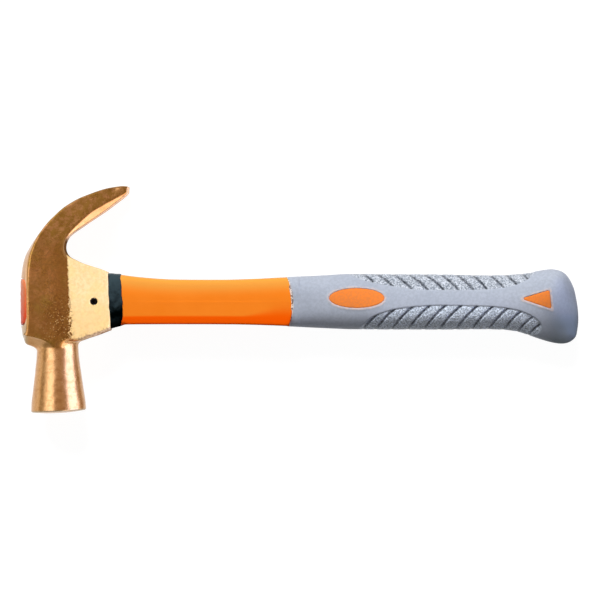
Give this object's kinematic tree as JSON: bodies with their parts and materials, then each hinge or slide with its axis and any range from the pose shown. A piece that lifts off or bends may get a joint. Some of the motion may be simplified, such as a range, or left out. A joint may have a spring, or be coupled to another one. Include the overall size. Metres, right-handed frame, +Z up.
{
  "type": "claw hammer",
  "caption": "Claw hammer with a cast bronze head, curved nail-pulling claw, orange jacketed fibreglass shaft and a moulded grey rubber grip",
  "frame": {"origin": "under the middle of the hammer's bounding box, on the surface the hammer lies on with one cheek up", "axes": "+X along the handle from the head towards the butt, +Y from the striking face towards the claw, +Z up through the hammer's thickness"},
  "size_m": [0.3403, 0.1385, 0.0348],
  "materials": {
    "bronze": "satin cast and ground",
    "fibreglass": "matte",
    "bonding_resin": "satin",
    "cap_resin": "semi-gloss",
    "spring_steel": "black oxide",
    "black_rubber": "satin",
    "orange_jacket": "satin",
    "grey_rubber": "matte, with textured panels"
  },
  "bodies": {
    "root": {"head": "bronze", "core_rod": "fibreglass", "eye_bond": "bonding_resin", "eye_cap": "cap_resin", "cross_pin": "spring_steel", "collar": "black_rubber", "jacket": "orange_jacket", "grip": "grey_rubber"}
  },
  "joints": []
}
